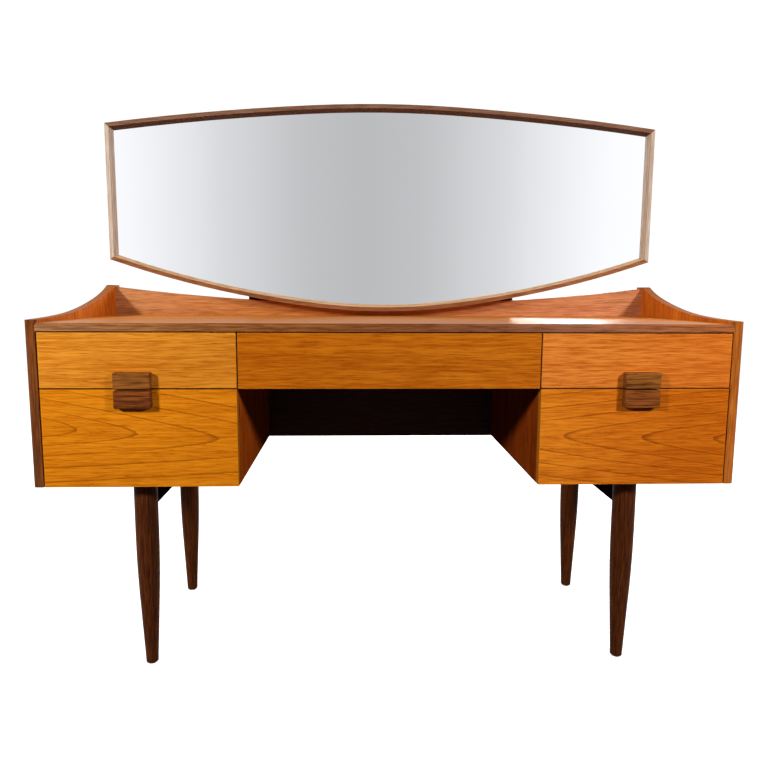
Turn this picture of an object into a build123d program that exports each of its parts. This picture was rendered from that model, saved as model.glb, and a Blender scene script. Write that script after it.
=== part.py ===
from build123d import *
from math import asin, cos, sin
import os

# A long, low dressing table: two pedestals with two drawers each, a shallow middle drawer over
# the kneehole, four turned legs and a wide tilting mirror with bowed top and bottom edges.
# Millimetres, +Z up.  The front faces -Y.  The origin is on the floor, at the middle of the
# bounding box.

os.makedirs("parts", exist_ok=True)

# ---------------------------------------------------------------- driving dimensions
table_width = 1422.0        # over the side panels
table_height = 738.0        # floor to the top's surface
carcass_depth = 456.0       # drawer faces to the back of the side panels
carcass_height = 329.0      # top's surface to the underside of the pedestals
handle_proud = 14.0         # handle faces in front of the drawer faces
strut_thickness = 18.0      # mirror struts, on the back of the carcass

side_thickness = 19.0
top_thickness = 16.0
panel_thickness = 16.0      # partitions and pedestal bottoms
back_thickness = 6.0
lipping_depth = 8.0
lipping_chamfer_x = 4.5     # outer front corner of the side lippings
lipping_chamfer_y = 2.5
top_bevel_drop = 4.5
top_bevel_depth = 3.0
side_rise_front = 6.0       # side panels stand this much above the top at the front
side_rise_back = 77.0       # and this much at the back
side_rise_points = [(184.0, 15.7), (314.0, 39.6)]   # between: behind the faces, above the top
side_slope_front = 0.03
side_slope_back = 0.55
side_peak_length = 38.0     # flat part of the side's top edge, at the back
side_peak_round = 4.0       # depth over which the curve turns into the flat part
side_peak_drop = 1.0        # and its height
upstand_thickness = 18.0
upstand_setback = 424.0     # drawer faces to the front of the upstand
upstand_height_middle = 30.5
upstand_height_end = 72.5

kneehole_half_width = 304.0
front_thickness = 18.0
front_gap = 2.5             # all round the drawer fronts
front_easing = 0.8          # on the edges of the drawer fronts' faces
front_play = 0.5            # behind the drawer fronts
front_lap = 0.4             # a side drawer's front stops this far outside the kneehole
upper_front_height = 110.0
lower_front_height = 198.0
centre_front_height = 111.5

box_side_thickness = 12.0
box_length = 412.0
box_clearance = 1.5         # each side of a drawer box
upper_box_height = 78.0
lower_box_height = 150.0
runner_height = 12.0
runner_width = 16.0
slide_clearance = 0.3
bottom_ply = 4.0
groove_depth = 5.0
groove_clearance = 0.2
joint_gap = 0.1             # each end of a drawer's back, between the box sides
groove_rise = 9.0           # underside of the box sides to the groove
drawer_back_drop = 6.0      # a drawer's back is this much lower than its sides

handle_width = 72.0
handle_height_upper = 32.5  # handles of the upper drawers
handle_height_lower = 36.5
handle_spread = 506.5       # handle centres from the middle
handle_corner = 3.0         # corner radius seen from the front
handle_rounding = 1.4       # edges of the handle's face
handle_screw_offset = 20.0  # screws to each side of the handle's centre
handle_screw_stop = 5.0     # wood in front of the screws

leg_radius = 23.8
leg_foot_radius = 12.6
leg_foot_rounding = 3.0
leg_straight_end = 298.0    # height where the leg starts to taper
leg_taper_start = 148.0     # height where the taper turns straight
leg_spread = 510.5          # leg centres from the middle
leg_front_setback = 59.0    # leg centres behind the drawer faces
leg_back_setback = 399.0
rail_thickness = 22.0
rail_height = 66.0
rail_screw_setbacks = (70.0, 170.0, 270.0)      # behind the centre of the front leg
rail_screw_bite = 13.0      # into the pedestal bottom

mirror_width = 1370.0
mirror_front_setback = 381.0
mirror_low = 13.0           # lowest point of the mirror above the top
mirror_high = 523.5         # highest point of the mirror above the top
bow_middle_half = 175.0     # half-width of the tighter arc in the middle of each bowed edge
top_bow_radii = (3200.0, 6500.0)        # the middle arc, then the arcs at its two ends
bottom_bow_radii = (1466.0, 2480.0)
frame_depth = 27.0
frame_face = 10.0
frame_width = 16.5          # at the glass
frame_easing = 0.8          # on the outer front edges
glass_setback = 16.5
glass_thickness = 4.0
backing_thickness = 6.5
rebate_face = 9.0           # frame left outside the glass rebate
glass_play = 0.3
mitre_overrun = 5.0         # the mitre cuts run past both edges of the frame

strut_width = 95.0
strut_outer = 353.0
strut_bottom = -200.0       # strut ends, from the top's surface
strut_top = 330.0
strut_corner = 12.0
strut_screw_drops = (180.0, 110.0, 40.0)        # below the top's surface
strut_screw_bite = 26.0     # into the partitions
batten_width = 60.0
batten_thickness = 12.0
batten_bottom = 60.0        # batten ends, from the top's surface
batten_top = 498.0
batten_screw_inset = 30.0   # batten screws from its ends
batten_screw_length = 17.5
pivot_height = 290.0        # above the top's surface
pivot_setback = 438.0
pin_radius = 4.0
pin_head_radius = 6.5
pin_head_length = 2.5
running_clearance = 0.06
lug_thickness = 18.0
lug_radius = 11.0
ear_gap = 0.5
ear_thickness = 3.0
ear_radius = 12.0
plate_thickness = 3.0
plate_width = 40.0
plate_height = 64.0
plate_corner = 4.0
knob_radius = 14.0
knob_length = 17.0
knob_wall = 3.0             # end wall outside the blind bore
knob_gap = 1.0              # between the knob and the bracket's ear
knob_flutes = 8
knob_flute_radius = 3.2
knob_flute_outset = 1.0     # flute centres outside the knob's radius
pin_end_gap = 1.0           # between the pin and the bottom of the knob's bore

screw_radius = 2.2
screw_clearance = 0.1
screw_head_radius = 4.2
screw_head_height = 2.6
screw_head_clearance = 0.4
screw_tip = 3.0
screw_tip_radius = 0.4
rail_counterbore = 24.0

# ---------------------------------------------------------------- derived places
total_depth = handle_proud + carcass_depth + strut_thickness + screw_head_height
face_y = -total_depth / 2 + handle_proud          # plane of the drawer faces
half_width = table_width / 2
side_inner = half_width - side_thickness
carcass_bottom = table_height - carcass_height
top_underside = table_height - top_thickness
back_y = face_y + carcass_depth
back_panel_y = back_y - back_thickness
partition_outer = kneehole_half_width + panel_thickness
interior_y = face_y + front_thickness + front_play
front_inner_edge = kneehole_half_width + front_lap
front_outer_edge = side_inner - front_gap
side_front_width = front_outer_edge - front_inner_edge
side_front_x = (front_outer_edge + front_inner_edge) / 2
centre_front_width = 2 * (front_inner_edge - front_gap)
upper_front_top = top_underside - front_gap
upper_front_bottom = upper_front_top - upper_front_height
lower_front_top = upper_front_bottom - front_gap
upstand_y = face_y + upstand_setback
mirror_y = face_y + mirror_front_setback
mirror_back_y = mirror_y + frame_depth
batten_back_y = mirror_back_y + batten_thickness
pivot_y = face_y + pivot_setback
pivot_z = table_height + pivot_height
strut_x = strut_outer - strut_width / 2
sides = {"left": -1, "right": 1}


def span(low, high):
    """Middle and length of the stretch between two limits."""
    return (low + high) / 2, high - low


def save(piece, label):
    """Label a finished piece and write its STEP file."""
    piece.part.label = label
    export_step(piece.part, f"parts/{label}.step")


def upright(y):
    """Plane facing the front at depth y: local x is +X and local y is +Z."""
    return Plane.XZ.offset(-y)


def facing(x, y, z, direction):
    """Plane at a point whose normal is the given direction."""
    return Plane(origin=(x, y, z), z_dir=direction)


def screws(seats, length):
    """Pan-head screws; each seat is the plane that the head bears on, facing outward."""
    with BuildPart() as piece:
        with Locations(*seats):
            Cylinder(screw_head_radius, screw_head_height, align=(Align.CENTER, Align.CENTER, Align.MIN))
            Cylinder(screw_radius, length - screw_tip, align=(Align.CENTER, Align.CENTER, Align.MAX))
        with Locations(*[seat.offset(screw_tip - length) for seat in seats]):
            Cone(screw_tip_radius, screw_radius, screw_tip, align=(Align.CENTER, Align.CENTER, Align.MAX))
    return piece


def drill(seats, depth):
    """Screw holes through the pending part, from each seat inward."""
    with Locations(*seats):
        Cylinder(
            screw_radius + screw_clearance,
            depth,
            align=(Align.CENTER, Align.CENTER, Align.MAX),
            mode=Mode.SUBTRACT,
        )


# ---------------------------------------------------------------- carcass
side_rise = [
    (lipping_depth, side_rise_front),
    *side_rise_points,
    (carcass_depth - side_peak_length, side_rise_back - side_peak_drop),
]
for name, side in sides.items():
    outline = [(face_y + depth, table_height + height) for depth, height in side_rise]
    peak_start = (outline[-1][0] + side_peak_round, table_height + side_rise_back)
    peak_end = (back_y, table_height + side_rise_back)
    x_inner, x_outer = side * side_inner, side * half_width
    with BuildPart() as side_panel:
        with BuildSketch(Plane.YZ.offset(min(x_inner, x_outer))):
            with BuildLine():
                front_bottom = (outline[0][0], carcass_bottom)
                Line(front_bottom, outline[0])
                Spline(*outline, tangents=[(1, side_slope_front), (1, side_slope_back)])
                Line(outline[-1], peak_start)
                Line(peak_start, peak_end)
                Line(peak_end, (back_y, carcass_bottom))
                Line((back_y, carcass_bottom), front_bottom)
            make_face()
        extrude(amount=side_thickness)
    save(side_panel, f"side_panel_{name}")

    with BuildPart() as side_lipping:
        with BuildSketch(Plane.XY.offset(carcass_bottom)):
            with BuildLine():
                Polyline(
                    (x_inner, face_y),
                    (x_outer - side * lipping_chamfer_x, face_y),
                    (x_outer, face_y + lipping_chamfer_y),
                    (x_outer, face_y + lipping_depth),
                    (x_inner, face_y + lipping_depth),
                    close=True,
                )
            make_face()
        extrude(amount=carcass_height + side_rise_front)
    save(side_lipping, f"side_lipping_{name}")

with BuildPart() as top_panel:
    with BuildSketch(Plane.XY.offset(top_underside)):
        with Locations((0, span(face_y + lipping_depth, back_y)[0])):
            Rectangle(2 * side_inner, carcass_depth - lipping_depth)
    extrude(amount=top_thickness)
save(top_panel, "top_panel")

with BuildPart() as top_lipping:
    with BuildSketch(Plane.YZ.offset(-side_inner)):
        with BuildLine():
            Polyline(
                (face_y, top_underside),
                (face_y, table_height - top_bevel_drop),
                (face_y + top_bevel_depth, table_height),
                (face_y + lipping_depth, table_height),
                (face_y + lipping_depth, top_underside),
                close=True,
            )
        make_face()
    extrude(amount=2 * side_inner)
save(top_lipping, "top_lipping")

with BuildPart() as upstand:
    with BuildSketch(upright(upstand_y)):
        with BuildLine():
            end_z = table_height + upstand_height_end
            middle_z = table_height + upstand_height_middle
            ThreePointArc((-side_inner, end_z), (0, middle_z), (side_inner, end_z))
            Polyline(
                (side_inner, end_z),
                (side_inner, table_height),
                (-side_inner, table_height),
                (-side_inner, end_z),
            )
        make_face()
    extrude(amount=-upstand_thickness)
save(upstand, "upstand")

# Screws that hold the struts go through the back panel into the back edges of the partitions.
strut_screw_x = kneehole_half_width + panel_thickness / 2
strut_screw_heights = [table_height - drop for drop in strut_screw_drops]
strut_screw_length = strut_thickness + back_thickness + strut_screw_bite
strut_seats = [
    facing(side * strut_screw_x, back_y + strut_thickness, z, (0, 1, 0))
    for side in sides.values()
    for z in strut_screw_heights
]

z_middle, back_height = span(carcass_bottom, top_underside)
with BuildPart() as back_panel:
    with BuildSketch(upright(back_panel_y)):
        with Locations((0, z_middle)):
            Rectangle(2 * side_inner, back_height)
    extrude(amount=-back_thickness)
    drill(strut_seats, strut_screw_length)
save(back_panel, "back_panel")

for name, side in sides.items():
    partition_x = side * span(kneehole_half_width, partition_outer)[0]
    with BuildPart() as partition:
        with BuildSketch(Plane.XY.offset(carcass_bottom)):
            with Locations((partition_x, span(interior_y, back_panel_y)[0])):
                Rectangle(panel_thickness, back_panel_y - interior_y)
        extrude(amount=top_underside - carcass_bottom)
        drill(strut_seats, strut_screw_length)
    save(partition, f"partition_{name}")

# ---------------------------------------------------------------- pedestal bottoms, rails, legs
pedestal_floor = carcass_bottom + panel_thickness
rail_bottom = carcass_bottom - rail_height
leg_ys = {"front": face_y + leg_front_setback, "rear": face_y + leg_back_setback}
rail_screw_ys = [leg_ys["front"] + setback for setback in rail_screw_setbacks]
rail_screw_length = rail_height - rail_counterbore + rail_screw_bite
rail_seats = [
    facing(side * leg_spread, y, rail_bottom + rail_counterbore, (0, 0, -1))
    for side in sides.values()
    for y in rail_screw_ys
]

with BuildPart() as pedestal_bottoms:
    with BuildSketch(Plane.XY.offset(carcass_bottom)):
        for side in sides.values():
            x_middle = side * span(partition_outer, side_inner)[0]
            with Locations((x_middle, span(interior_y, back_panel_y)[0])):
                Rectangle(side_inner - partition_outer, back_panel_y - interior_y)
    extrude(amount=panel_thickness)
    drill(rail_seats, rail_screw_length)
save(pedestal_bottoms, "pedestal_bottoms")

for name, side in sides.items():
    rail_seats_here = [seat for seat in rail_seats if seat.origin.X * side > 0]
    with BuildPart() as rail:
        with BuildSketch(Plane.XY.offset(rail_bottom)):
            with Locations((side * leg_spread, span(*leg_ys.values())[0])):
                Rectangle(rail_thickness, leg_ys["rear"] - leg_ys["front"])
            with Locations(*[(side * leg_spread, y) for y in leg_ys.values()]):
                Circle(leg_radius, mode=Mode.SUBTRACT)
        extrude(amount=rail_height)
        drill(rail_seats_here, rail_screw_length)
        with Locations(*rail_seats_here):
            Cylinder(
                screw_head_radius + screw_head_clearance,
                rail_counterbore,
                align=(Align.CENTER, Align.CENTER, Align.MIN),
                mode=Mode.SUBTRACT,
            )
    save(rail, f"leg_rail_{name}")

    for row, y in leg_ys.items():
        taper_radius = leg_foot_radius + (leg_radius - leg_foot_radius) * leg_taper_start / (
            leg_taper_start + (leg_straight_end - leg_taper_start) / 2
        )
        with BuildPart() as leg:
            with BuildSketch(upright(y).move(Location((side * leg_spread, 0, 0)))):
                with BuildLine():
                    Line((0, 0), (0, carcass_bottom))
                    Line((0, carcass_bottom), (leg_radius, carcass_bottom))
                    Line((leg_radius, carcass_bottom), (leg_radius, leg_straight_end))
                    bend = TangentArc(
                        (leg_radius, leg_straight_end), (taper_radius, leg_taper_start),
                        tangent=(0, -1),
                    )
                    Line(bend @ 1, (leg_foot_radius, leg_foot_rounding))
                    Line(
                        (leg_foot_radius, leg_foot_rounding),
                        (leg_foot_radius - leg_foot_rounding, 0),
                    )
                    Line((leg_foot_radius - leg_foot_rounding, 0), (0, 0))
                make_face()
            revolve(axis=Axis((side * leg_spread, y, 0), (0, 0, 1)))
        save(leg, f"leg_{row}_{name}")

save(screws(rail_seats, rail_screw_length), "rail_screws")

# ---------------------------------------------------------------- drawer runners
runner_top = upper_front_bottom + runner_height
runner_limits = {
    "left": (-side_inner, -partition_outer),
    "right": (partition_outer, side_inner),
    "centre": (-kneehole_half_width, kneehole_half_width),
}
for name, (x_low, x_high) in runner_limits.items():
    with BuildPart() as runners:
        with BuildSketch(Plane.XY.offset(upper_front_bottom)):
            for x in (x_low + runner_width / 2, x_high - runner_width / 2):
                with Locations((x, span(interior_y, back_panel_y)[0])):
                    Rectangle(runner_width, back_panel_y - interior_y)
        extrude(amount=runner_height)
    save(runners, f"drawer_runners_{name}")


# ---------------------------------------------------------------- drawers
def drawer(name, xs, front_limits, widths, box_bottom, box_height, handle_up):
    """One drawer: front, box (two sides and a back), bottom, and its handle with two screws.

    xs are the middles of its front, its box and its handle, and widths are those of its front
    and its box. handle_up is 1 for a handle that rises from the front's lower edge, -1 for one
    that hangs from its upper edge, and 0 for none.
    """
    front_x, box_x, handle_x = xs
    front_width, box_width = widths
    front_low, front_high = front_limits
    box_y = face_y + front_thickness
    groove_low = box_bottom + groove_rise
    groove_height = bottom_ply + 2 * groove_clearance
    ply_width = box_width - 2 * box_side_thickness + 2 * groove_depth - 2 * groove_clearance
    ply_length = box_length + groove_depth - groove_clearance
    box_y_middle = box_y + box_length / 2

    handle_height = handle_height_upper if handle_up > 0 else handle_height_lower
    handle_z = front_low + handle_height / 2 if handle_up > 0 else front_high - handle_height / 2
    seats = [
        facing(handle_x + side * handle_screw_offset, box_y, handle_z, (0, 1, 0))
        for side in sides.values()
    ]
    screw_length = front_thickness + handle_proud - handle_screw_stop

    with BuildPart() as front:
        with BuildSketch(upright(face_y)):
            with Locations((front_x, span(front_low, front_high)[0])):
                Rectangle(front_width, front_high - front_low)
        extrude(amount=-front_thickness)
        chamfer(front.faces().sort_by(Axis.Y)[0].edges(), front_easing)
        with BuildSketch(Plane.XY.offset(groove_low)):
            with Locations((box_x, box_y - groove_depth / 2)):
                Rectangle(ply_width + 2 * groove_clearance, groove_depth)
        extrude(amount=groove_height, mode=Mode.SUBTRACT)
        if handle_up:
            drill(seats, screw_length)
    save(front, f"{name}_front")

    with BuildPart() as box:
        with BuildSketch(Plane.XY.offset(box_bottom)):
            side_offset = (box_width - box_side_thickness) / 2
            with Locations((box_x - side_offset, box_y_middle), (box_x + side_offset, box_y_middle)):
                Rectangle(box_side_thickness, box_length)
        extrude(amount=box_height)
        with BuildSketch(Plane.XY.offset(groove_low)):
            with Locations((box_x, box_y_middle)):
                Rectangle(ply_width + 2 * groove_clearance, box_length)
        extrude(amount=groove_height, mode=Mode.SUBTRACT)
        with BuildSketch(Plane.XY.offset(groove_low + groove_height)):
            with Locations((box_x, box_y + box_length - box_side_thickness / 2)):
                Rectangle(box_width - 2 * box_side_thickness - 2 * joint_gap, box_side_thickness)
        extrude(amount=box_height - groove_rise - groove_height - drawer_back_drop)
    save(box, f"{name}_box")

    with BuildPart() as bottom:
        with BuildSketch(Plane.XY.offset(groove_low + groove_clearance)):
            with Locations((box_x, box_y - groove_depth + groove_clearance + ply_length / 2)):
                Rectangle(ply_width, ply_length)
        extrude(amount=bottom_ply)
    save(bottom, f"{name}_bottom")

    if not handle_up:
        return
    with BuildPart() as handle:
        with BuildSketch(upright(face_y)):
            with Locations((handle_x, handle_z)):
                RectangleRounded(handle_width, handle_height, handle_corner)
        extrude(amount=handle_proud)
        chamfer(handle.faces().sort_by(Axis.Y)[0].edges(), handle_rounding)
        drill(seats, screw_length)
    save(handle, f"{name}_handle")
    save(screws(seats, screw_length), f"{name}_handle_screws")


upper_box_bottom = runner_top + slide_clearance
lower_box_bottom = pedestal_floor + slide_clearance
side_box_width = side_inner - partition_outer - 2 * box_clearance
centre_box_width = 2 * (kneehole_half_width - box_clearance)
side_widths = (side_front_width, side_box_width)
for name, side in sides.items():
    xs = (side * side_front_x, side * (side_inner + partition_outer) / 2, side * handle_spread)
    upper_limits = (upper_front_bottom, upper_front_top)
    lower_limits = (carcass_bottom, lower_front_top)
    drawer(f"drawer_upper_{name}", xs, upper_limits, side_widths, upper_box_bottom, upper_box_height, 1)
    drawer(f"drawer_lower_{name}", xs, lower_limits, side_widths, lower_box_bottom, lower_box_height, -1)
centre_limits = (upper_front_top - centre_front_height, upper_front_top)
centre_widths = (centre_front_width, centre_box_width)
drawer("drawer_centre", (0, 0, 0), centre_limits, centre_widths, upper_box_bottom, upper_box_height, 0)

# ---------------------------------------------------------------- mirror struts
for name, side in sides.items():
    seats_here = [seat for seat in strut_seats if seat.origin.X * side > 0]
    with BuildPart() as strut:
        with BuildSketch(upright(back_y)):
            z_middle, height = span(table_height + strut_bottom, table_height + strut_top)
            with Locations((side * strut_x, z_middle)):
                Rectangle(strut_width, height)
        extrude(amount=-strut_thickness)
        chamfer(strut.faces().sort_by(Axis.Z)[-1].edges().filter_by(Axis.Y), strut_corner)
        drill(seats_here, strut_screw_length)
    save(strut, f"mirror_strut_{name}")
save(screws(strut_seats, strut_screw_length), "strut_screws")

# ---------------------------------------------------------------- mirror frame
mirror_half = mirror_width / 2
mirror_top_z = table_height + mirror_high
mirror_bottom_z = table_height + mirror_low


def flip(point):
    """The same point on the left half."""
    return (-point[0], point[1])


def bow(inset, upper):
    """Right half of the mirror's top or bottom edge, moved in by inset: its middle, the end of
    the tighter middle arc, a point of the flatter end arc, and the corner."""
    vertex_z, way, (tight, flat) = (
        (mirror_top_z, -1, top_bow_radii) if upper else (mirror_bottom_z, 1, bottom_bow_radii)
    )
    lean = asin(bow_middle_half / tight)
    flat_x = (tight - flat) * sin(lean)
    flat_depth = tight + (flat - tight) * cos(lean)
    end = asin((mirror_half - inset - flat_x) / (flat - inset))
    points = [(0, vertex_z + way * inset)]
    for angle in (lean, (lean + end) / 2, end):
        x = flat_x + (flat - inset) * sin(angle)
        depth = flat_depth - (flat - inset) * cos(angle)
        points.append((x, vertex_z + way * depth))
    return points


def corner(side, inset, upper):
    """Corner of the mirror's outline, moved in by inset, on upright planes."""
    point = bow(inset, upper)[-1]
    return point if side > 0 else flip(point)


def mirror_outline(inset):
    """Closed outline of the mirror, moved in by inset: two bowed edges and two straight ends."""
    for upper in (True, False):
        middle, join, bend, end = bow(inset, upper)
        ThreePointArc(flip(join), middle, join)
        ThreePointArc(join, bend, end)
        ThreePointArc(flip(join), flip(bend), flip(end))
    for side in sides.values():
        Line(corner(side, inset, True), corner(side, inset, False))


with BuildPart() as frame_ring:
    with BuildSketch(upright(mirror_y)):
        with BuildLine():
            mirror_outline(0)
        make_face()
    extrude(amount=-frame_depth)
    chamfer(frame_ring.faces().sort_by(Axis.Y)[0].edges(), frame_easing)
    with BuildSketch(upright(mirror_y)):
        with BuildLine():
            mirror_outline(frame_face)
        make_face()
    with BuildSketch(upright(mirror_y + glass_setback)):
        with BuildLine():
            mirror_outline(frame_width)
        make_face()
    loft(ruled=True, mode=Mode.SUBTRACT)
    with BuildSketch(upright(mirror_y + glass_setback)):
        with BuildLine():
            mirror_outline(rebate_face)
        make_face()
    extrude(amount=glass_setback - frame_depth, mode=Mode.SUBTRACT)

mitre_in = frame_width + mitre_overrun
mitre_out = -mitre_overrun


def mitre(side, upper, inset):
    """Point on the mitre line of a corner, at the given distance in from the outer corner."""
    x_out, z_out = corner(side, 0, upper)
    x_in, z_in = corner(side, frame_width, upper)
    share = inset / frame_width
    return (x_out + (x_in - x_out) * share, z_out + (z_in - z_out) * share)


def frame_member(points):
    """The part of the mirror frame inside a polygon drawn on the mirror's plane."""
    with BuildPart() as member:
        add(frame_ring.part)
        with BuildSketch(upright(mirror_y)):
            with BuildLine():
                Polyline(*points, close=True)
            make_face()
        extrude(amount=-frame_depth, mode=Mode.INTERSECT)
    return member


beyond_x = mirror_half + frame_width
for upper, name, beyond_z in (
    (True, "top", mirror_top_z + frame_width),
    (False, "bottom", mirror_bottom_z - frame_width),
):
    points = [
        mitre(-1, upper, mitre_in),
        mitre(-1, upper, mitre_out),
        (-beyond_x, beyond_z),
        (beyond_x, beyond_z),
        mitre(1, upper, mitre_out),
        mitre(1, upper, mitre_in),
    ]
    save(frame_member(points), f"mirror_frame_{name}")
for name, side in sides.items():
    points = [
        mitre(side, True, mitre_in),
        mitre(side, True, mitre_out),
        mitre(side, False, mitre_out),
        mitre(side, False, mitre_in),
    ]
    save(frame_member(points), f"mirror_frame_{name}")

sheet_inset = rebate_face + glass_play
glass_y = mirror_y + glass_setback
with BuildPart() as mirror_glass:
    with BuildSketch(upright(glass_y)):
        with BuildLine():
            mirror_outline(sheet_inset)
        make_face()
    extrude(amount=-glass_thickness)
save(mirror_glass, "mirror_glass")

# ---------------------------------------------------------------- mirror battens and pivots
batten_seats = [
    facing(side * strut_x, batten_back_y, table_height + z, (0, 1, 0))
    for side in sides.values()
    for z in (batten_bottom + batten_screw_inset, batten_top - batten_screw_inset)
]
with BuildPart() as mirror_battens:
    with BuildSketch(upright(mirror_back_y)):
        z_middle, height = span(table_height + batten_bottom, table_height + batten_top)
        with Locations((-strut_x, z_middle), (strut_x, z_middle)):
            Rectangle(batten_width, height)
    extrude(amount=-batten_thickness)
    drill(batten_seats, batten_screw_length)
save(mirror_battens, "mirror_battens")
save(screws(batten_seats, batten_screw_length), "batten_screws")

with BuildPart() as mirror_backing:
    with BuildSketch(upright(glass_y + glass_thickness)):
        with BuildLine():
            mirror_outline(sheet_inset)
        make_face()
    extrude(amount=-backing_thickness)
    drill(batten_seats, batten_screw_length)
save(mirror_backing, "mirror_backing")


def tongue(x_low, x_high, root_y, radius):
    """Tongue from a plate at root_y to the pivot axis, rounded about the axis."""
    y_middle, length = span(*sorted((root_y, pivot_y)))
    with BuildSketch(Plane.YZ.offset(x_low)) as profile:
        with Locations((y_middle, pivot_z)):
            Rectangle(length, 2 * radius)
        with Locations((pivot_y, pivot_z)):
            Circle(radius)
            Circle(pin_radius + running_clearance, mode=Mode.SUBTRACT)
    extrude(profile.sketch, amount=x_high - x_low)


def plate(x, y):
    """Fixing plate from depth y backward."""
    with BuildSketch(upright(y)) as profile:
        with Locations((x, pivot_z)):
            RectangleRounded(plate_width, plate_height, plate_corner)
    extrude(profile.sketch, amount=-plate_thickness)


ear_inner = lug_thickness / 2 + ear_gap
ear_outer = ear_inner + ear_thickness
with BuildPart() as pivot_brackets:
    for side in sides.values():
        x = side * strut_x
        plate(x, back_y - plate_thickness)
        tongue(x - ear_outer, x - ear_inner, back_y - plate_thickness, ear_radius)
        tongue(x + ear_inner, x + ear_outer, back_y - plate_thickness, ear_radius)
save(pivot_brackets, "pivot_brackets")

with BuildPart() as pivot_lugs:
    for side in sides.values():
        x = side * strut_x
        plate(x, batten_back_y)
        tongue(x - lug_thickness / 2, x + lug_thickness / 2, batten_back_y + plate_thickness, lug_radius)
save(pivot_lugs, "pivot_lugs")

pin_inner = -ear_outer - pin_head_length
pin_outer = ear_outer + knob_gap + knob_length - knob_wall - pin_end_gap
with BuildPart() as pivot_pins:
    for side in sides.values():
        head_plane = Plane(
            origin=(side * (strut_x + pin_inner), pivot_y, pivot_z), z_dir=(side, 0, 0)
        )
        with BuildSketch(head_plane):
            Circle(pin_head_radius)
        extrude(amount=pin_head_length)
        with BuildSketch(head_plane):
            Circle(pin_radius)
        extrude(amount=pin_outer - pin_inner)
save(pivot_pins, "pivot_pins")

for name, side in sides.items():
    knob_plane = Plane(
        origin=(side * (strut_x + ear_outer + knob_gap), pivot_y, pivot_z), z_dir=(side, 0, 0)
    )
    with BuildPart() as knob:
        with BuildSketch(knob_plane):
            Circle(knob_radius)
            with PolarLocations(knob_radius + knob_flute_outset, knob_flutes):
                Circle(knob_flute_radius, mode=Mode.SUBTRACT)
        extrude(amount=knob_length)
        with BuildSketch(knob_plane):
            Circle(pin_radius + running_clearance)
        extrude(amount=knob_length - knob_wall, mode=Mode.SUBTRACT)
    save(knob, f"clamp_knob_{name}")
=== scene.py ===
"""Looks of a dressing table with a bowed, tilting mirror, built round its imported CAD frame."""

import math

import bmesh
import bpy
from mathutils import Matrix, Vector


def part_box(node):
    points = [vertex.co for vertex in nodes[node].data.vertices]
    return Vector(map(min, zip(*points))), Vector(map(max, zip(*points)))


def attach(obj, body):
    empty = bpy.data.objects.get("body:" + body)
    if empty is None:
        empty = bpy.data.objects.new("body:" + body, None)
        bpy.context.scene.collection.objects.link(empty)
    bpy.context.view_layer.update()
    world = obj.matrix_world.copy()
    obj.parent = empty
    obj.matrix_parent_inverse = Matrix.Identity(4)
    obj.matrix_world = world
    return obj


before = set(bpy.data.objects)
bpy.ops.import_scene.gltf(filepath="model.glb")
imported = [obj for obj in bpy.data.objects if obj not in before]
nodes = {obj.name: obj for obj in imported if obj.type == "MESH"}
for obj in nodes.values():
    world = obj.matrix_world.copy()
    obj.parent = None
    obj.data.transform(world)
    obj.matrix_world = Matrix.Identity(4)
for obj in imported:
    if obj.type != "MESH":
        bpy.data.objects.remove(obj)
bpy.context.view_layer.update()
sides = {"left": -1, "right": 1}


# Material tools

def tint(red, green, blue):
    """A screen colour of 0 to 255 a channel, as the linear colour that shaders use."""
    def linear(channel):
        channel = channel / 255
        return channel / 12.92 if channel <= 0.04045 else ((channel + 0.055) / 1.055) ** 2.4
    return (linear(red), linear(green), linear(blue), 1.0)


class Field:
    """A value that varies over a surface. Arithmetic on it adds Math nodes to its material."""

    def __init__(self, graph, socket):
        self.graph = graph
        self.socket = socket

    def __add__(self, other):
        return self.graph.maths("ADD", self, other)

    def __radd__(self, other):
        return self.graph.maths("ADD", other, self)

    def __sub__(self, other):
        return self.graph.maths("SUBTRACT", self, other)

    def __rsub__(self, other):
        return self.graph.maths("SUBTRACT", other, self)

    def __mul__(self, other):
        return self.graph.maths("MULTIPLY", self, other)

    def __rmul__(self, other):
        return self.graph.maths("MULTIPLY", other, self)

    def __truediv__(self, other):
        return self.graph.maths("DIVIDE", self, other)

    def __pow__(self, other):
        return self.graph.maths("POWER", self, other)

    def __abs__(self):
        return self.graph.maths("ABSOLUTE", self)


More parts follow.
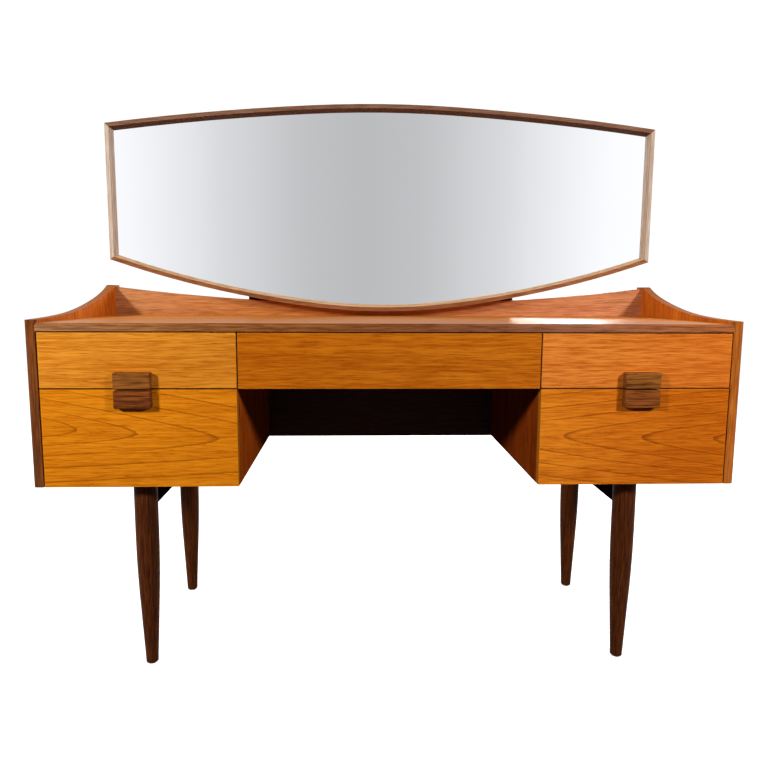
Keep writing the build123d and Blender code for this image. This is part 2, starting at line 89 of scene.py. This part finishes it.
class Graph:
    """The node tree of one material, with its object coordinates in metres as x, y and z."""

    def __init__(self, name):
        self.material = bpy.data.materials.new(name)
        self.material.use_nodes = True
        self.tree = self.material.node_tree
        self.tree.nodes.clear()
        place = self.node("ShaderNodeTexCoord")
        parts = self.node("ShaderNodeSeparateXYZ", {"Vector": place.outputs["Object"]})
        self.x, self.y, self.z = (Field(self, parts.outputs[i]) for i in range(3))
        turned = self.node("ShaderNodeSeparateXYZ", {"Vector": place.outputs["Normal"]})
        self.normal = dict(zip("xyz", (Field(self, turned.outputs[i]) for i in range(3))))

    def node(self, kind, inputs=None, **settings):
        made = self.tree.nodes.new(kind)
        for key, value in settings.items():
            setattr(made, key, value)
        for key, value in (inputs or {}).items():
            self.feed(made.inputs[key], value)
        return made

    def feed(self, socket, value):
        if isinstance(value, Field):
            value = value.socket
        if isinstance(value, bpy.types.NodeSocket):
            self.tree.links.new(value, socket)
        else:
            socket.default_value = value

    def maths(self, operation, first, second=0.0):
        made = self.node("ShaderNodeMath", {0: first, 1: second}, operation=operation)
        return Field(self, made.outputs[0])

    def least(self, *fields):
        result = fields[0]
        for field in fields[1:]:
            result = self.maths("MINIMUM", result, field)
        return result

    def step(self, value, low, high):
        """0 at low, 1 at high and a smooth change between; low may be above high."""
        made = self.node(
            "ShaderNodeMapRange",
            {"Value": value, "From Min": low, "From Max": high},
            interpolation_type="SMOOTHSTEP",
        )
        return Field(self, made.outputs["Result"])

    def noise(self, x, y, z, detail=2.0, roughness=0.5):
        """Noise from 0 to 1, about one lump to each unit of x, y and z."""
        vector = self.node("ShaderNodeCombineXYZ", {0: x, 1: y, 2: z})
        settings = {"Vector": vector.outputs[0], "Scale": 1.0, "Detail": detail, "Roughness": roughness}
        return Field(self, self.node("ShaderNodeTexNoise", settings).outputs[0])

    def mix(self, factor, first, second, blend="MIX"):
        """A colour between two others."""
        made = self.node(
            "ShaderNodeMix", {0: factor, 6: first, 7: second}, data_type="RGBA", blend_type=blend
        )
        return made.outputs[2]

    def ramp(self, field, stops):
        """A colour that changes with a field; stops are (value, colour) from low to high."""
        low, high = stops[0][0], stops[-1][0]
        made = self.node("ShaderNodeValToRGB", {"Fac": (field - low) / (high - low)})
        made.color_ramp.interpolation = "B_SPLINE"
        elements = made.color_ramp.elements
        while len(elements) < len(stops):
            elements.new(0.5)
        for element, (value, colour) in zip(elements, stops):
            element.position = (value - low) / (high - low)
            element.color = colour
        return made.outputs["Color"]

    def surface(self, shader):
        out = self.node("ShaderNodeOutputMaterial")
        self.tree.links.new(shader.outputs[0], out.inputs["Surface"])
        return self.material

    def finish(self, colour, roughness, height=None, relief=0.0002, **constants):
        """Ends the tree in a Principled shader; height, 0 to 1, becomes bumps of relief metres."""
        shader = self.node("ShaderNodeBsdfPrincipled", {"Base Color": colour, "Roughness": roughness})
        for key, value in constants.items():
            shader.inputs[key.replace("_", " ").title().replace("Ior", "IOR")].default_value = value
        if height is not None:
            bump = self.node("ShaderNodeBump", {"Height": height, "Distance": relief, "Strength": 1.0})
            self.tree.links.new(bump.outputs["Normal"], shader.inputs["Normal"])
        return self.surface(shader)


# Lumps of each kind of grain to a metre, along it and across it.
grain = {
    "sway": (2.2, 7), "ripple": (14, 45), "broad": (1.1, 30), "streak": (5, 210),
    "dash": (22, 400), "speck": (55, 1100), "patch": (3, 9),
}


def grain_noise(g, kind, place, detail=2, start=0.0):
    """Noise of one kind of grain; place is how far along the grain, then twice across it."""
    along, across = grain[kind]
    u, v, w = place
    return g.noise(u * along, v * across, w * across + start, detail)


def wood(
    name,
    along,
    light,
    dark,
    pore,
    edge=None,
    flat=None,
    offset=0.0,
    contrast=1.0,
    pores=0.5,
    figure=None,
    drift=None,
    roughness=(0.42, 0.54),
    relief=0.0001,
    rim=None,
    outer=None,
    **finish,
):
    """Wood whose grain runs along one axis.

    light and dark are the two ends of its colour and pore is the colour of its pores. A board is
    flat along the flat axis, and its other faces are edges, of the edge colour. figure(graph, u, w)
    adds growth rings of its own, and drift darkens the colour along x; on the drawer fronts and the
    upstand that darkening is painted shade. rim is the box whose outline in the face is lightened:
    rubbed lacquer along with a painted highlight of the eased edge. outer is where a side's darker
    outer arris starts, and where the dark end of its upper edge starts toward the back; both are
    painted shade.
    """
    g = Graph(name)
    axes = {"x": g.x, "y": g.y, "z": g.z}
    u = axes.pop(along)
    v, w = axes.values()
    rings = figure(g, u, w) if figure is not None else None
    u = u + offset
    straight = (u, v, w)
    sway = grain_noise(g, "sway", straight, start=offset) - 0.5
    ripple = grain_noise(g, "ripple", straight) - 0.5
    shift = sway * 0.007 + ripple * 0.0014
    wavy = (u, v + shift, w + shift)
    broad = grain_noise(g, "broad", wavy) - 0.5
    streak = grain_noise(g, "streak", wavy) - 0.5
    dash = grain_noise(g, "dash", wavy) - 0.5
    speck = grain_noise(g, "speck", wavy, 1)
    shade = 0.5 + broad * (0.7 * contrast) + streak * (1.0 * contrast) + dash * (1.9 * contrast)
    if rings is not None:
        shade = shade + rings[1] * 0.45
    colour = g.mix(g.step(shade, -0.15, 1.15), light, dark)
    patch = grain_noise(g, "patch", wavy, 1, start=3)
    colour = g.mix(g.step(patch, 0.4, 0.75) * 0.2, colour, dark)
    holes = g.step(speck, 0.58, 0.70) * g.step(dash, -0.04, 0.08)
    colour = g.mix(holes * pores, colour, pore)
    if rings is not None:
        colour = g.mix(rings[0], colour, pore)
    sheen = roughness[0] + (dash + 0.5 + holes * 0.4) * (roughness[1] - roughness[0])
    if drift is not None:
        stops = [(x, (*level, 1.0)) for x, level in drift]
        colour = g.mix(1.0, colour, g.ramp(g.x, stops), "MULTIPLY")
    if flat is not None:
        side = g.step(abs(g.normal[flat]), 0.8, 0.6)
        end = g.mix(g.step(streak, -0.2, 0.2) * 0.4, edge, pore)
        # Painted shade: the side's upper edge is darkened along its outer arris and toward the back end.
        if outer is not None:
            arris_x, far_y = outer
            arris = g.step(abs(g.x), arris_x, arris_x + 0.002)
            far_end = g.step(g.y, far_y, far_y + 0.008)
            end = g.mix(g.maths("MAXIMUM", arris * 0.75, far_end * 0.85), end, pore)
        colour = g.mix(side, colour, end)
    # Lightens the face and makes it smoother within about 2 mm of its outline: rubbed lacquer and a painted
    # highlight of the eased edge.
    if rim is not None:
        low, high = rim
        borders = []
        for axis, field in (("x", g.x), ("y", g.y), ("z", g.z)):
            if axis != flat:
                index = "xyz".index(axis)
                borders += [field - low[index], high[index] - field]
        distance = g.least(*borders) + ripple * 0.0016
        rubbed_and_lit = g.step(distance, 0.0020, 0.0006)
        colour = g.mix(rubbed_and_lit * 0.35, colour, light)
        sheen = sheen - rubbed_and_lit * 0.05
    height = 0.6 - holes * 0.6 + dash * 0.5 + streak * 0.3
    return g.finish(colour, sheen, height, relief, **finish)


def cathedral(direction, tip, line, tilt, spacing, start):
    """Nested pointed rings of a flat-cut veneer, their tips pointing to direction along x.

    tip is the x of the innermost tip, line the height of the middle line there and tilt its
    slope. The rings are spacing metres apart at first, and wider apart further out.
    """
    roundness, opening = 0.0323, 9.04

    def rings(g, u, w):
        fine = g.noise(u * 60, w * 300, 0.0, 2) - 0.5
        coarse = g.noise(u * 6, w * 18, 0.5, 2) - 0.5
        across = abs(w - (u - tip) * tilt - line)
        spread = across * across / (across + roundness) * opening
        place = (u - tip) * direction + spread + fine * 0.012 + coarse * 0.03
        inside = g.maths("MAXIMUM", place / spacing + start * start, 0.0)
        count = inside ** 0.5 - start + 8
        turn = g.maths("FRACT", count)
        strength = g.step(g.noise(u * 9, w * 40, 1.5, 2), 0.25, 0.6) * 0.3 + 0.28
        mark = g.step(turn, 0.86, 0.985) * g.step(turn, 1.0, 0.99) * strength
        minor = g.maths("FRACT", count * 4)
        thin = g.step(minor, 0.6, 0.95) * g.step(minor, 1.0, 0.96)
        return mark, g.step(turn, 0.2, 0.95) * 0.25 + thin * 0.25 - 0.15
    return rings


def paint(material, *names):
    for name in names:
        nodes[name].data.materials.clear()
        nodes[name].data.materials.append(material)


# Woods

satin = dict(specular_ior_level=0.08)
shaded = dict(specular_ior_level=0.0)
edge_brown = tint(92, 44, 20)
teak = dict(light=tint(244, 162, 54), dark=tint(199, 113, 24), pore=tint(119, 53, 9), edge=edge_brown)
amber = dict(light=tint(242, 151, 27), dark=tint(197, 105, 10), pore=tint(119, 51, 5), edge=edge_brown)
russet = dict(light=tint(248, 154, 65), dark=tint(199, 103, 30), pore=tint(120, 51, 15), edge=edge_brown)
copper = dict(light=tint(252, 154, 39), dark=tint(199, 102, 19), pore=tint(120, 52, 12), edge=edge_brown)
honey = dict(light=tint(215, 125, 27), dark=tint(171, 82, 11), pore=tint(103, 43, 6), edge=edge_brown)

left_rings = cathedral(1, -0.619, 0.5265, -0.069, 0.021, 2.3)
right_rings = cathedral(-1, 0.5166, 0.508, -0.02, 0.008, 9.7)
# The drift ramps darken each front toward one end: painted shade of the lamps' fall-off across the fronts.
for drawer, colours, offset, figure, drift in (
    ("drawer_upper_left", teak, 1.3, None, ((-0.66, (1.0, 1.0, 1.0)), (-0.3, (0.88, 0.82, 0.7)))),
    ("drawer_upper_right", russet, 5.1, None, ((0.3, (1.0, 1.0, 1.0)), (0.66, (0.86, 0.7, 0.5)))),
    ("drawer_centre", honey, 9.7, None, ((-0.28, (0.93, 0.88, 0.6)), (0.0, (0.93, 0.9, 0.75)),
                                         (0.28, (1.0, 1.0, 1.0)))),
    ("drawer_lower_left", amber, 13.9, left_rings, ((-0.66, (1.0, 1.0, 1.0)), (-0.3, (0.95, 0.9, 0.85)))),
    ("drawer_lower_right", copper, 17.3, right_rings, ((0.32, (1.0, 1.0, 1.0)), (0.45, (0.84, 0.72, 0.7)),
                                                       (0.62, (0.7, 0.54, 0.4)))),
):
    front = drawer + "_front"
    paint(
        wood(front, "x", flat="y", offset=offset, figure=figure, drift=drift, rim=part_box(front),
             contrast=1.0 if figure is None else 0.8, **colours, **shaded),
        front,
    )

paint(
    wood("veneer_top", "x", flat="z", contrast=0.8, light=tint(252, 161, 53), dark=tint(208, 114, 27),
         pore=tint(126, 56, 10), edge=edge_brown, roughness=(0.3, 0.4), specular_ior_level=0.18),
    "top_panel",
)
# Painted shade: the drift darkens the upstand most toward the middle, under the mirror, and less toward its
# ends.
paint(
    wood("veneer_upstand", "x", flat="y", offset=3.3, light=tint(232, 152, 110), dark=tint(184, 106, 64),
         pore=tint(110, 50, 22), edge=edge_brown,
         drift=((-0.69, (0.78, 0.95, 0.85)), (-0.35, (0.72, 0.74, 0.4)), (0.0, (0.68, 0.62, 0.28)),
                (0.3, (0.82, 0.9, 0.8)), (0.69, (0.88, 1.0, 1.0))), **satin),
    "upstand",
)
side_flat_length = 0.044
side_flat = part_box("side_panel_left")[1][1] - side_flat_length
outer_arris = 0.7088
for name, side in sides.items():
    paint(
        wood("veneer_side_" + name, "z", flat="x", offset=2.0 + side, light=tint(226, 128, 36),
             dark=tint(180, 84, 18), pore=tint(84, 38, 16), edge=tint(196, 112, 50),
             outer=(outer_arris, side_flat), **satin),
        "side_panel_" + name,
    )
# Painted shade: the kneehole partitions are coloured darker than the other veneers, the right one darker
# than the left, for the shade inside the kneehole.
for name, light, dark in (
    ("left", tint(176, 82, 20), tint(124, 48, 9)),
    ("right", tint(150, 66, 15), tint(104, 38, 7)),
):
    paint(
        wood("veneer_partition_" + name, "z", flat="x", offset=6.0 + sides[name], contrast=1.2,
             light=light, dark=dark, pore=tint(66, 24, 6), edge=tint(120, 54, 16), **shaded),
        "partition_" + name,
    )
paint(
    wood("lipping_left", "z", light=tint(137, 74, 28), dark=tint(85, 41, 12), pore=tint(44, 19, 5),
         contrast=1.4, **satin),
    "side_lipping_left",
)
paint(
    wood("lipping_right", "z", light=tint(198, 112, 32), dark=tint(144, 72, 16), pore=tint(83, 37, 7),
         contrast=1.2, **satin),
    "side_lipping_right",
)
paint(
    wood("lipping_top", "x", light=tint(196, 142, 98), dark=tint(138, 88, 54), pore=tint(70, 38, 20),
         contrast=1.4,
         drift=((-0.69, (0.95, 0.98, 0.95)), (-0.45, (0.8, 0.62, 0.36)), (0.0, (0.48, 0.3, 0.15)),
                (0.35, (0.6, 0.5, 0.62)), (0.5, (0.78, 0.56, 0.5)), (0.69, (0.82, 0.55, 0.32))),
         **satin),
    "top_lipping",
)

dull = dict(specular_ior_level=0.02)
leg_colours = dict(light=tint(98, 48, 18), dark=tint(56, 24, 8), pore=tint(22, 9, 4), contrast=1.3)
paint(wood("dark_leg", "z", **leg_colours, **dull),
      "leg_front_left", "leg_front_right", "leg_rear_left", "leg_rear_right")
paint(wood("dark_rail", "y", light=tint(70, 32, 14), dark=tint(36, 15, 7), pore=tint(16, 7, 4), **shaded),
      "leg_rail_left", "leg_rail_right")
for row, light, dark in (
    ("upper", tint(166, 102, 42), tint(90, 48, 20)),
    ("lower", tint(156, 86, 36), tint(84, 40, 16)),
):
    for name, side in sides.items():
        paint(
            wood(f"handle_{row}_{name}", "x", light=light, dark=dark, pore=tint(38, 18, 8), contrast=1.7,
                 pores=0.7, offset=side * 3.7 + len(row), relief=0.0002, **dull),
            f"drawer_{row}_{name}_handle",
        )
# The reveal colours are painted light and shade: dark on the top member, whose reveal faces down, and pale
# on the bottom member, whose reveal faces up toward the lamps.
for member, light, dark, reveal_with_painted_light in (
    ("top", tint(156, 118, 94), tint(118, 76, 56), tint(96, 58, 36)),
    ("bottom", tint(172, 116, 76), tint(124, 70, 40), tint(240, 194, 148)),
):
    paint(
        wood("frame_" + member, "x", flat="y", light=light, dark=dark, pore=tint(70, 38, 22), edge=reveal_with_painted_light,
             drift=((-0.68, (1.0, 1.0, 1.0)), (-0.3, (0.85, 0.82, 0.8)), (0.1, (0.85, 0.8, 0.78)),
                    (0.4, (1.0, 1.0, 1.0)), (0.68, (1.0, 1.0, 1.0))), **satin),
        "mirror_frame_" + member,
    )
# Painted light: the uprights are coloured paler than the top and bottom members, for the side lamps and
# sheen falling on them.
paint(
    wood("frame_upright", "z", light=tint(218, 202, 186), dark=tint(187, 160, 139), pore=tint(128, 96, 76),
         contrast=1.2, **satin),
    "mirror_frame_left", "mirror_frame_right",
)
rough = dict(roughness=(0.52, 0.66), specular_ior_level=0.02)
paint(wood("strut_wood", "z", light=tint(66, 38, 22), dark=tint(34, 18, 10), pore=tint(14, 8, 5), **rough),
      "mirror_strut_left", "mirror_strut_right", "mirror_battens")
pale_wood = dict(light=tint(220, 186, 138), dark=tint(184, 144, 98), pore=tint(124, 90, 58))
paint(wood("runner_wood", "y", **pale_wood, **rough),
      "drawer_runners_left", "drawer_runners_right", "drawer_runners_centre")
drawers = [name.removesuffix("_front") for name in nodes
           if name.startswith("drawer_") and name.endswith("_front")]
paint(wood("box_wood", "y", **pale_wood, **rough), *(drawer + "_box" for drawer in drawers))
paint(
    wood("drawer_bottom_ply", "x", flat="z", light=tint(214, 176, 126), dark=tint(180, 138, 92),
         pore=tint(120, 86, 54), edge=tint(160, 118, 76), **rough),
    *(drawer + "_bottom" for drawer in drawers),
)
paint(
    wood("pedestal_ply", "x", flat="z", light=tint(112, 66, 36), dark=tint(78, 42, 22),
         pore=tint(44, 24, 12), edge=edge_brown, **rough),
    "pedestal_bottoms",
)
paint(
    wood("back_ply", "x", flat="y", light=tint(66, 28, 16), dark=tint(38, 14, 9), pore=tint(18, 8, 5),
         edge=tint(50, 24, 14), **rough),
    "back_panel",
)
paint(
    wood("mirror_ply", "x", flat="y", light=tint(206, 162, 112), dark=tint(166, 120, 78),
         pore=tint(112, 76, 46), edge=tint(140, 100, 64), **rough),
    "mirror_backing",
)


# Metals and glass

def metal(name, colour, dull_colour, roughness):
    g = Graph(name)
    fine = g.noise(g.x * 900, g.y * 900, g.z * 900, 2)
    cloud = g.noise(g.x * 60, g.y * 60, g.z * 60, 3)
    spot = g.step(g.noise(g.x * 260, g.y * 260, g.z * 260, 2), 0.56, 0.7)
    mixed = g.mix(g.step(cloud, 0.35, 0.75) * 0.7 + spot * 0.3, colour, dull_colour)
    sheen = roughness + (fine - 0.5) * 0.15 + spot * 0.15
    return g.finish(mixed, sheen, fine * 0.5 + cloud * 0.5, 0.00003, metallic=1.0)


def mirror_surface():
    g = Graph("mirror_silver")
    smear = g.noise(g.x * 3, g.y * 3, g.z * 7, 3)
    dust = g.step(g.noise(g.x * 700, g.y * 700, g.z * 700, 1), 0.74, 0.84)
    colour = g.mix(smear * 0.12, tint(246, 247, 250), tint(232, 235, 240))
    return g.finish(colour, g.step(smear, 0.5, 0.8) * 0.008 + dust * 0.02, metallic=1.0)


paint(mirror_surface(), "mirror_glass")
zinc = metal("zinc_steel", tint(176, 174, 168), tint(120, 114, 104), 0.38)
brass = metal("aged_brass", tint(206, 164, 86), tint(132, 96, 44), 0.34)
paint(zinc, "batten_screws", "strut_screws", "rail_screws", "pivot_brackets", "pivot_lugs",
      "pivot_pins", *(name for name in nodes if name.endswith("_handle_screws")))
paint(brass, "clamp_knob_left", "clamp_knob_right")


# Small fixings: screw heads on the pivot plates, nails round the back, clips behind the mirror

def domed_head(mesh, centre, radius, rise, slot=0.0, way=1):
    """Adds a low domed head to a mesh. It faces the back, or the front where way is -1, and has
    a screw slot of width slot."""
    steps = 12
    brim = 0.15
    rows = [radius * (2 * i / steps - 1) for i in range(steps + 1)]
    if slot:
        lip = 0.00001
        rows = [x for x in rows if abs(x) > slot]
        rows = sorted(rows + [-slot / 2 - lip, -slot / 2, slot / 2, slot / 2 + lip])
    lines = []
    for x in rows:
        half = math.sqrt(max(radius * radius - x * x, (radius * 0.02) ** 2))
        points = []
        for i in range(steps + 1):
            z = half * (2 * i / steps - 1)
            spread = min((x * x + z * z) / (radius * radius), 1.0)
            height = rise * (brim + (1 - brim) * (1 - spread) ** 0.6)
            if slot and abs(x) <= slot / 2:
                height = rise * brim
            points.append(mesh.verts.new((centre[0] + x, centre[1] + way * height, centre[2] + z)))
        lines.append(points)
    for near, far in zip(lines, lines[1:]):
        for i in range(steps):
            mesh.faces.new((near[i], near[i + 1], far[i + 1], far[i]))
    rim = lines[0] + [line[-1] for line in lines[1:-1]] + lines[-1][::-1]
    rim += [line[0] for line in lines[-2:0:-1]]
    base = [mesh.verts.new((point.co.x, centre[1], point.co.z)) for point in rim]
    for i in range(len(rim)):
        following = (i + 1) % len(rim)
        mesh.faces.new((rim[i], base[i], base[following], rim[following]))
    mesh.faces.new(base)


def clip(mesh, centre, width, length, thickness):
    """Adds a flat retaining clip with cut corners, lying against the back of the mirror frame."""
    x, y, z = centre
    half, reach, cut = width / 2, length / 2, width * 0.28
    outline = [
        (-half + cut, -reach), (half - cut, -reach), (half, -reach + cut), (half, reach - cut),
        (half - cut, reach), (-half + cut, reach), (-half, reach - cut), (-half, -reach + cut),
    ]
    inner = 0.82
    near = [mesh.verts.new((x + a, y, z + b)) for a, b in outline]
    middle = [mesh.verts.new((x + a, y + thickness * 0.7, z + b)) for a, b in outline]
    far = [mesh.verts.new((x + a * inner, y + thickness, z + b * (1 + inner) / 2)) for a, b in outline]
    for first, second in ((near, middle), (middle, far)):
        for i in range(len(outline)):
            following = (i + 1) % len(outline)
            mesh.faces.new((first[i], first[following], second[following], second[i]))
    mesh.faces.new(near[::-1])
    mesh.faces.new(far)


def piece(name, mesh, material, body):
    bmesh.ops.recalc_face_normals(mesh, faces=mesh.faces)
    data = bpy.data.meshes.new(name)
    mesh.to_mesh(data)
    mesh.free()
    data.materials.append(material)
    made = bpy.data.objects.new(name, data)
    bpy.context.scene.collection.objects.link(made)
    for face in data.polygons:
        face.use_smooth = False
    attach(made, body)
    return made


strut_low, strut_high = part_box("mirror_strut_right")
strut_x = (strut_low[0] + strut_high[0]) / 2
bracket_low, bracket_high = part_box("pivot_brackets")
lug_low, lug_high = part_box("pivot_lugs")
pivot_z = (lug_low[2] + lug_high[2]) / 2
plate_thickness = 0.003
plate_head = (0.0034, 0.0014, 0.0009)
plate_screws = [
    (side * strut_x + x, pivot_z + z)
    for side in sides.values() for x in (-0.0145, 0.0145) for z in (-0.024, 0.024)
]
heads = bmesh.new()
for x, z in plate_screws:
    domed_head(heads, (x, bracket_high[1] - plate_thickness, z), *plate_head, -1)
piece("bracket_screw_heads", heads, zinc, "carcass")
heads = bmesh.new()
for x, z in plate_screws:
    domed_head(heads, (x, lug_low[1] + plate_thickness, z), *plate_head)
piece("lug_screw_heads", heads, zinc, "mirror")

back_low, back_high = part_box("back_panel")
nails = bmesh.new()
nail_inset = 0.009
nail_gaps = 14
nail_radius, nail_rise = 0.0028, 0.0009
nail_reach = back_high[0] - nail_inset
for i in range(nail_gaps + 1):
    x = nail_reach * (2 * i / nail_gaps - 1)
    under_strut = strut_low[0] - 0.005 < abs(x) < strut_high[0] + 0.005
    for z in (back_low[2] + nail_inset, back_high[2] - nail_inset):
        if z < strut_low[2] or not under_strut:
            domed_head(nails, (x, back_high[1], z), nail_radius, nail_rise)
for z in (0.25, 0.5, 0.75):
    height = back_low[2] + z * (back_high[2] - back_low[2])
    for side in sides.values():
        domed_head(nails, (side * nail_reach, back_high[1], height), nail_radius, nail_rise)
piece("back_nails", nails, zinc, "carcass")


def edge_height(node, x, upper):
    """Height of a node's upper or lower outline at x."""
    mesh = nodes[node].data
    heights = []
    for edge in mesh.edges:
        start, end = (mesh.vertices[i].co for i in edge.vertices)
        if min(start.x, end.x) <= x < max(start.x, end.x):
            heights.append(start.z + (end.z - start.z) * (x - start.x) / (end.x - start.x))
    return max(heights) if upper else min(heights)


clips = bmesh.new()
clip_width, clip_length, clip_thickness = 0.008, 0.02, 0.0008
clip_setback = 0.004
backing_low, backing_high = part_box("mirror_backing")
for x in (-0.62, -0.42, -0.22, 0.0, 0.22, 0.42, 0.62):
    for upper, way in ((True, -1), (False, 1)):
        z = edge_height("mirror_backing", x, upper) + way * clip_setback
        clip(clips, (x, backing_high[1], z), clip_width, clip_length, clip_thickness)
        screw = (x, backing_high[1] + clip_thickness, z + way * clip_setback)
        domed_head(clips, screw, 0.0025, 0.001, 0.0007)
piece("backing_clips", clips, brass, "mirror")


# Room: a pale floor, a card behind the camera for the mirror, and soft lights

def panel(name, corners, material):
    mesh = bpy.data.meshes.new(name)
    mesh.from_pydata(corners, [], [(0, 1, 2, 3)])
    mesh.update()
    mesh.materials.append(material)
    made = bpy.data.objects.new(name, mesh)
    made.visible_diffuse = False
    bpy.context.scene.collection.objects.link(made)
    return made


def floor_surface():
    """A pale floor that turns into plain white away from the object."""
    g = Graph("floor_pale")
    cloud = g.noise(g.x * 2, g.y * 2, 0.0, 3)
    colour = g.mix(cloud, tint(244, 244, 244), tint(250, 250, 250))
    away = (g.x * g.x + g.y * g.y * 1.2) ** 0.5
    glow = g.step(away, 0.2, 1.8) * 0.4 + 0.6
    shader = g.node(
        "ShaderNodeBsdfPrincipled",
        {"Base Color": colour, "Roughness": 0.8, "Emission Strength": glow},
    )
    shader.inputs["Specular IOR Level"].default_value = 0.1
    shader.inputs["Emission Color"].default_value = (1.0, 1.0, 1.0, 1.0)
    return g.surface(shader)


def card_surface(levels):
    """A card that gives off light; levels are its (distance from the middle, grey) pairs."""
    g = Graph("card_glow")
    stops = [(distance, (level, level, level, 1.0)) for distance, level in levels]
    card_strength = 1.1
    shader = g.node(
        "ShaderNodeEmission", {"Color": g.ramp(abs(g.x), stops), "Strength": card_strength}
    )
    return g.surface(shader)


floor_reach = 8.0
panel(
    "floor",
    [(-floor_reach, -floor_reach, 0), (floor_reach, -floor_reach, 0),
     (floor_reach, floor_reach, 0), (-floor_reach, floor_reach, 0)],
    floor_surface(),
)
card_y, card_reach, card_top = -3.5, 3.2, 2.3
card = panel(
    "card",
    [(card_reach, card_y, 0.0), (-card_reach, card_y, 0.0),
     (-card_reach, card_y, card_top), (card_reach, card_y, card_top)],
    card_surface(
        ((0.0, 0.49), (0.4, 0.52), (0.64, 0.557), (0.87, 0.624), (1.15, 0.68), (1.37, 0.77),
         (1.67, 0.85), (2.06, 0.98), (card_reach, 1.0)),
    ),
)
card.visible_camera = False

# The room's even white light, stronger for what the camera and reflections see directly.
room_light = 0.05
camera_extra = 1.0
glossy_extra = 0.75
world = bpy.data.worlds.new("room")
world.use_nodes = True
sky = world.node_tree
ray = sky.nodes.new("ShaderNodeLightPath")
strength = room_light
for kind, extra in (("Is Camera Ray", camera_extra), ("Is Glossy Ray", glossy_extra)):
    added = sky.nodes.new("ShaderNodeMath")
    added.operation = "MULTIPLY_ADD"
    sky.links.new(ray.outputs[kind], added.inputs[0])
    added.inputs[1].default_value = extra
    if isinstance(strength, bpy.types.NodeSocket):
        sky.links.new(strength, added.inputs[2])
    else:
        added.inputs[2].default_value = strength
    strength = added.outputs[0]
background = sky.nodes["Background"]
sky.links.new(strength, background.inputs["Strength"])
background.inputs["Color"].default_value = (1.0, 1.0, 1.0, 1.0)
bpy.context.scene.world = world


def soft_light(name, place, target, size, power, colour=(1.0, 1.0, 1.0)):
    light = bpy.data.lights.new(name, "AREA")
    light.shape = "SQUARE"
    light.size = size
    light.energy = power
    light.color = colour
    lamp = bpy.data.objects.new(name, light)
    lamp.location = place
    lamp.rotation_euler = (Vector(target) - Vector(place)).to_track_quat("-Z", "Y").to_euler()
    lamp.visible_camera = False
    bpy.context.scene.collection.objects.link(lamp)
    return lamp


key_size = 0.28
key_height = 1.57
key_y = -1.65
keys = [
    soft_light("key_left", (-1.96, key_y, key_height), (-0.4, -0.23, 0.6), key_size, 51, (1.0, 0.98, 0.94)),
    soft_light("key_right", (1.74, key_y, key_height), (0.4, -0.23, 0.6), key_size, 40, (1.0, 0.96, 0.94)),
]
soft_light("gleam", (1.02, 2.2, 1.36), (0.37, 0.0, 0.74), 0.7, 24)
back_fill = soft_light("back_fill", (0.5, 3.4, 2.6), (0.0, 0.2, 0.8), 1.6, 60)
for lamp in (*keys, back_fill):
    lamp.visible_glossy = False

view_settings = bpy.context.scene.view_settings
view_settings.view_transform = "Standard"

camera_data = bpy.data.cameras.new("camera")
camera = bpy.data.objects.new("camera", camera_data)
bpy.context.scene.collection.objects.link(camera)
camera_data.sensor_width = 36.0
camera_data.lens = 29.65
camera_data.shift_x = 0.0100
camera_data.shift_y = -0.0217
camera_place = (-0.0687, -1.4786, 0.8009)
yaw, pitch, roll = 0.0326, 0.1192, 0.0042
turn = (
    Matrix.Rotation(-yaw, 4, "Z")
    @ Matrix.Rotation(math.pi / 2 - pitch, 4, "X")
    @ Matrix.Rotation(roll, 4, "Z")
)
camera.matrix_world = Matrix.Translation(camera_place) @ turn
bpy.context.scene.camera = camera
